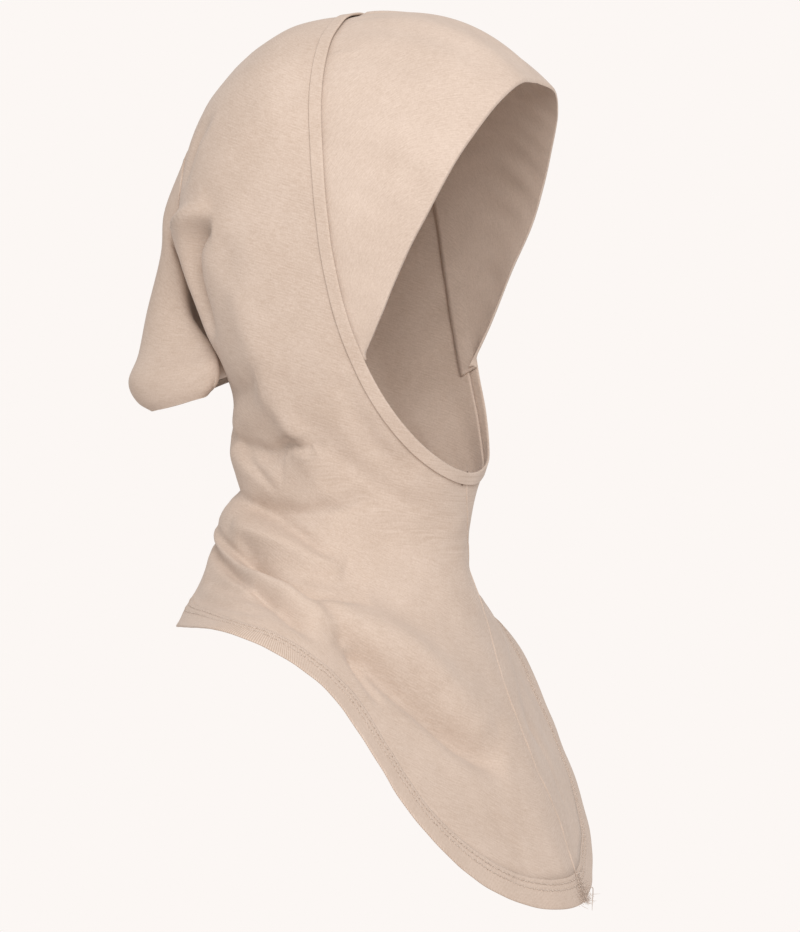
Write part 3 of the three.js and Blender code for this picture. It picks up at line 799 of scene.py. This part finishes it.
def fluff_piece():
    """The hairs and the thread as one mesh, whose texture runs along each strand."""
    hairs, hair_quads = strands(fluff_paths(), FLUFF["radius"])
    loose, loose_quads = strands(loose_thread_path()[None], LOOSE_THREAD["radius"])
    quads = np.concatenate([hair_quads, loose_quads + len(hairs)])
    return put_mesh("hem_join_fluff", np.concatenate([hairs, loose]), quads, thread_corners(len(quads)))


fluff = fluff_piece()
fluff.data.materials.append(thread("cotton_fluff", "#D6C6B9", "#C3B0A1"))
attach(fluff, "root")

# Forehead band: a doubled panel of the same jersey, folded at its front edge. It runs over the top
# of the forehead to a point at each cheek and is sewn in under the face edge of the hood.
BAND_WALL = 2
BAND_TUCK = 9
GAP = 0.1
# How much the band rises as it leaves the hood, and where round the hood its points lie
BAND_RISE = 0.03
CHEEK = 0.135
# Steps along and across the band, and how much closer they lie at its seam
BAND_ALONG = 380
BAND_ACROSS = 90
BAND_CLOSER = 0.8
# Half the band's length and its width, in metres, for the texture
BAND_HALF = 0.2
BAND_DEEP = 0.09
# Small pleats at the band's seam: place from cheek, -1, to cheek, 1, and height in mm. Their width
# is a share of half the band, and their start and length are shares of the way across it
BAND_PLEATS = [(0.02, 1.6), (0.1, -0.8), (-0.12, 0.9), (-0.3, 0.6), (0.28, 0.7), (0.55, 0.5), (-0.5, 0.5)]
PLEAT = {"width": 0.012, "start": 0.02, "length": 0.16}
# The band's own edge from the middle of the forehead to the cheek: half width, forward and height
BAND_EDGE = [(0, 81.5, -35), (22, 82, -37.5), (38, 77.5, -48), (50, 69.5, -64.5),
             (58.5, 62, -81), (64, 53.5, -100), (66, 42, -122), (66.5, 30.5, -148), (65, 20.5, -169)]


def band_face(s, t, depth):
    """A face of the band, s from cheek to cheek and t from the hood's edge to its own: parabolas
    that leave the hood in line with the cloth, or where t is below 0 the tuck under it."""
    u = 0.5 - s * (0.5 - CHEEK)
    under = HEM_PROUD - HEM_WALL - GAP - depth
    start = on_cloth(u, np.zeros(u.shape), under)
    round_, down = turns(cloth, u, np.full(u.shape, 0.004))
    normal = unit(np.cross(round_, down))
    leave = unit(BAND_RISE * normal - unit(down))
    edge = np.array(BAND_EDGE, float)[:, None, :] * np.ones((1, len(s), 1))
    width, forward, height = np.moveaxis(smooth_between(edge, np.abs(s)), -1, 0)
    end = placed(width * np.sign(s), forward, height) - normal * depth / 1000
    chord = end - start
    length = np.linalg.norm(chord, axis=-1, keepdims=True)
    bulge = (leave - chord * (leave * chord).sum(-1, keepdims=True) / length ** 2) * length
    over = t[t > 0][:, None]
    arc = start[:, None] + chord[:, None] * over + bulge[:, None] * over * (1 - over)
    ss, tt = np.meshgrid(u, -t[t <= 0], indexing="ij")
    return np.concatenate([on_cloth(ss, from_face(ss, tt), np.full(ss.shape, under)), arc], 1)


def band_piece():
    """Outer face, rounded fold and inner face of the band as one loop section. Its free edge is
    folded, so the two faces meet in a round, and small pleats run in from the seam on top."""
    s = np.linspace(-1, 1, BAND_ALONG)
    over = np.linspace(0, 1, BAND_ACROSS) ** BAND_CLOSER
    tuck = -BAND_TUCK * np.array([1, 0.75, 0.5, 0.25])
    t = np.concatenate([tuck, over[:-1], 1 - np.array([0.006, 0.002, 0])])
    outer, inner = band_face(s, t, 0), band_face(s, t, BAND_WALL)
    middle = (outer[:, -1] + inner[:, -1]) / 2
    for face in (outer, inner):
        face[:, -1] = (face[:, -1] + middle) / 2
    pleats = sum(height * np.exp(-((s[:, None] - at) / PLEAT["width"]) ** 2) for at, height in BAND_PLEATS)
    fade = np.exp(-((np.maximum(t, 0) - PLEAT["start"]) / PLEAT["length"]) ** 2) * (t > 0)
    outer = outer + outward(outer) * (pleats * fade)[..., None] / 1000
    points = np.concatenate([outer, inner[:, ::-1]], 1)
    across = np.concatenate([t, t[::-1], t[:1]])
    deep = np.where(across > 0, across * BAND_DEEP, across / 1000)
    uv = np.stack(np.meshgrid(s * BAND_HALF, deep, indexing="ij"), -1)
    quads = wrapped_quads(len(s), 2 * len(t), False)
    return put_mesh("forehead_band_cloth", points.reshape(-1, 3), quads, corner_uvs(uv, False))


band = band_piece()
band.data.materials.append(jersey("jersey_knit_doubled", "#CFBDAF", "#BDAA9B", 0.8))
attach(band, "root")
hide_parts("forehead_band")

# Hair pouch: a bag of single jersey that hangs from the back of the head and holds the gathered
# hair. Its mouth is sewn to the back of the hood, and its bottom is a seam turned inside.
POUCH_AROUND = 160
POUCH_DOWN = 90
# The pouch unrolled, in metres, for the texture: its girth and its drop
POUCH_GIRTH = 0.22
POUCH_DROP = 0.14
# Rings below the mouth: back point and front point as (forward, height), half width, lean, which
# lifts the wearer's left side over the right, and how far the front corners reach round the nape
POUCH = {
    "under the mouth": ((-98, -86), (-92, -119), 40, 0, 0),
    "waist": ((-104.5, -112), (-91.5, -129), 37.5, 0, 8),
    "body": ((-115, -141), (-93.5, -148), 36, 1, 22),
    "flare": ((-120, -162), (-89, -162), 40, 3, 42),
    "belly": ((-124, -174), (-86, -166), 46, 6, 50),
    "turn": ((-119, -182), (-88, -172), 46, 8, 50),
    "bottom edge": ((-109, -186), (-98, -177), 43.5, 9, 46),
}
# How full the corners are, where 1 is an oval, and how much the front corners rise as they reach
SQUARED = 0.8
LIFT = 0.15
# How the reach round the nape grows to the corners, and its share on the wearer's left
HUG_POWER = 2.8
LEFT_HUG = 0.68
# The pouch's top is sunk so many mm into the hood. Its place there is found by a few steps from a
# first guess, which takes a share of the way down and a girth in mm
MOUTH_SUNK = 0.5
MOUTH_DOWN = 0.3
HOOD_ROUND = 400
NEWTON_STEPS = 12
# The inner face ends a little above the outer one's bottom, where the seam is turned inside
INNER_END = 0.985
# Tucks where the pouch's bottom is drawn in: part of a turn, width in radians and depth in mm. The
# row under them is how far down they lie and over how much of the drop
TUCKS = [(0.865, 0.07, 2.2), (0.905, 0.06, 2.6), (0.955, 0.08, 2), (0.635, 0.07, 2.2), (0.57, 0.08, 2)]
TUCKS_AT = (0.9, 0.12)


def mouth_points(angle):
    """Points of an oval seen from behind, found on the cloth by Newton's steps."""
    width = (MOUTH["half_width"] + MOUTH["lap"]) * np.cos(angle)
    height = MOUTH["height"] + SEAT_DEPTH + (MOUTH["half_height"] + MOUTH["lap"]) * np.sin(angle)
    u, v = 0.5 - width / HOOD_ROUND, np.full(angle.shape, MOUTH_DOWN)
    step = 1e-3
    for _ in range(NEWTON_STEPS):
        at = cloth(u, v)
        du, dv = (cloth(u + step, v) - at) / step, (cloth(u, v + step) - at) / step
        ex, ez = -width / 1000 - at[..., 0], height / 1000 - at[..., 2]
        det = du[..., 0] * dv[..., 2] - dv[..., 0] * du[..., 2]
        u, v = (u + (ex * dv[..., 2] - ez * dv[..., 0]) / det, v + (ez * du[..., 0] - ex * du[..., 2]) / det)
    return on_cloth(u, v, np.full(u.shape, -MOUTH_SUNK))


def pouch_piece():
    """Smooth curves down through the mouth and the rings, as an outer face and an inner face. A
    ring is an oval with fuller corners, whose front corners are bent round the nape."""
    angle = 2 * np.pi * (np.arange(POUCH_AROUND) + 0.5) / POUCH_AROUND
    across = np.sign(np.cos(angle)) * np.abs(np.cos(angle)) ** SQUARED
    behind = np.sign(np.sin(angle)) * np.abs(np.sin(angle)) ** SQUARED
    rings = [mouth_points(angle)]
    hug = np.abs(np.cos(angle)) ** HUG_POWER * np.where(np.cos(angle) < 0, LEFT_HUG, 1)
    for back, front, half_width, lean, bend in POUCH.values():
        reach = bend * hug * (1 - behind) / 2
        forward, height = ((b + f) / 2 + (b - f) / 2 * behind for b, f in zip(back, front))
        rings.append(placed(half_width * across, forward + reach,
                            height + LIFT * reach - lean * np.cos(angle)))
    rings = np.stack(rings)
    tucks = sum(depth * np.exp(-((angle - 2 * np.pi * at) / width) ** 2) for at, width, depth in TUCKS)

    def face(w):
        """Points at w down the pouch, all round, with the tucks moved towards its middle."""
        smooth = smooth_between(rings[:, None] * np.ones((1, len(w), 1, 1)),
                                np.broadcast_to(w[:, None], (len(w), POUCH_AROUND)))
        drawn_in = tucks * np.exp(-((w[:, None] - TUCKS_AT[0]) / TUCKS_AT[1]) ** 2) / 1000
        middle = smooth.mean(1, keepdims=True)
        return smooth + unit(middle - smooth) * drawn_in[..., None]

    w = np.linspace(0, 1, POUCH_DOWN)
    outer = face(w)
    inner_w = np.minimum(w, INNER_END)
    step = 2e-3
    inner = face(inner_w)
    round_ = np.roll(inner, -1, 1) - np.roll(inner, 1, 1)
    down = face(inner_w + step) - face(inner_w - step)
    inner = inner - unit(np.cross(down, round_)) * CLOTH / 1000
    points = np.concatenate([inner[::-1], outer])
    turned = np.arange(POUCH_AROUND + 1) / POUCH_AROUND
    deep = np.concatenate([w[::-1], w])
    uv = np.stack(np.meshgrid(turned * POUCH_GIRTH, deep * POUCH_DROP), -1)
    quads = wrapped_quads(len(points), POUCH_AROUND, False)
    return put_mesh("hair_pouch_cloth", points.reshape(-1, 3), quads, corner_uvs(uv, False))


pouch = pouch_piece()
pouch.data.materials.append(jersey("jersey_knit_pouch", "#CAB8AA", "#B8A494", 0.25, hatch=0.4))
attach(pouch, "root")
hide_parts("hair_pouch")


# Studio: a pale floor below the hood, a white lit wall behind it, soft white light all round and a
# large soft lamp in front and above. The camera is level with the hood, 66 degrees round on the
# wearer's right. Places and sizes are in metres.
WHITE = "#FCF7F4"
FLOOR = {"half": 3.0, "height": -0.72, "fades_from": 0.5, "fades_to": 1.1}
HOOD_MIDDLE = Vector((0, 0, -0.2))
VIEW_TURN = np.radians(-66)
VIEW_WAY = Vector((-np.sin(VIEW_TURN), np.cos(VIEW_TURN), 0))
VIEW_RIGHT = Vector((np.cos(VIEW_TURN), np.sin(VIEW_TURN), 0))
WALL_BEHIND = 6
WALL_HALF = 1.6
SKY_STRENGTH = 0.72
CAMERA_PLACE = (-1.549, -0.7002, -0.2141)
LENS = 135.9
SENSOR = 36
# The corners of a square, from -1 to 1
SQUARE = ((-1, -1), (1, -1), (1, 1), (-1, 1))


def stage_floor():
    """A square of floor painted pale and matt. Its paint fades into the studio's white away from
    the middle, so that no edge shows."""
    half, height = FLOOR["half"], FLOOR["height"]
    mesh = bpy.data.meshes.new("floor")
    mesh.from_pydata([(x * half, y * half, height) for x, y in SQUARE], [], [(0, 1, 2, 3)])
    floor = bpy.data.objects.new("floor", mesh)
    bpy.context.scene.collection.objects.link(floor)
    material = bpy.data.materials.new("painted_floor")
    material.use_nodes = True
    tree = material.node_tree
    shader = tree.nodes["Principled BSDF"]
    shader.inputs["Base Color"].default_value = linear("#E9E4E1")
    shader.inputs["Roughness"].default_value = 0.9
    place = add(tree, "ShaderNodeTexCoord").outputs["Object"]
    middle = {0: place, 1: (0, 0, height)}
    far = add(tree, "ShaderNodeVectorMath", middle, operation="DISTANCE").outputs["Value"]
    fade = {"Value": far, "From Min": FLOOR["fades_from"], "From Max": FLOOR["fades_to"],
            "To Min": 1.0, "To Max": 0.0}
    solid = add(tree, "ShaderNodeMapRange", fade).outputs[0]
    tree.links.new(solid, shader.inputs["Alpha"])
    mesh.materials.append(material)
    return floor


def stage_wall():
    """White paper, square to the camera's view and far behind the hood, lit so evenly that it
    shows one plain tone."""
    middle = VIEW_WAY * WALL_BEHIND + HOOD_MIDDLE
    corners = [middle + (VIEW_RIGHT * x + Vector((0, 0, z))) * WALL_HALF for x, z in SQUARE]
    mesh = bpy.data.meshes.new("backdrop")
    mesh.from_pydata([tuple(corner) for corner in corners], [], [(0, 1, 2, 3)])
    wall = bpy.data.objects.new("backdrop", mesh)
    bpy.context.scene.collection.objects.link(wall)
    material = bpy.data.materials.new("white_paper_lit")
    material.use_nodes = True
    shader = material.node_tree.nodes["Principled BSDF"]
    shader.inputs["Base Color"].default_value = linear("#000000")
    shader.inputs["Specular IOR Level"].default_value = 0.0
    shader.inputs["Emission Color"].default_value = linear(WHITE)
    shader.inputs["Emission Strength"].default_value = 1.0
    mesh.materials.append(material)
    return wall


stage_floor()
stage_wall()

world = bpy.data.worlds.new("studio")
bpy.context.scene.world = world
world.use_nodes = True
world.node_tree.nodes["Background"].inputs["Color"].default_value = linear(WHITE)
world.node_tree.nodes["Background"].inputs["Strength"].default_value = SKY_STRENGTH


def area_lamp(name, place, size, power):
    """A square soft lamp at a place in metres, turned towards the middle of the hood."""
    light = bpy.data.lights.new(name, "AREA")
    light.size = size
    light.energy = power
    lamp = bpy.data.objects.new(name, light)
    lamp.location = place
    lamp.rotation_euler = (HOOD_MIDDLE - Vector(place)).to_track_quat("-Z", "Y").to_euler()
    bpy.context.scene.collection.objects.link(lamp)


area_lamp("key_lamp", (-1.46, -0.81, 0.6), 1.2, 26)

camera_data = bpy.data.cameras.new("camera")
camera_data.lens = LENS
camera_data.sensor_width = SENSOR
camera = bpy.data.objects.new("camera", camera_data)
camera.location = CAMERA_PLACE
camera.rotation_euler = (np.pi / 2, 0, VIEW_TURN)
bpy.context.scene.collection.objects.link(camera)
bpy.context.scene.camera = camera
bpy.context.scene.view_settings.view_transform = "Standard"
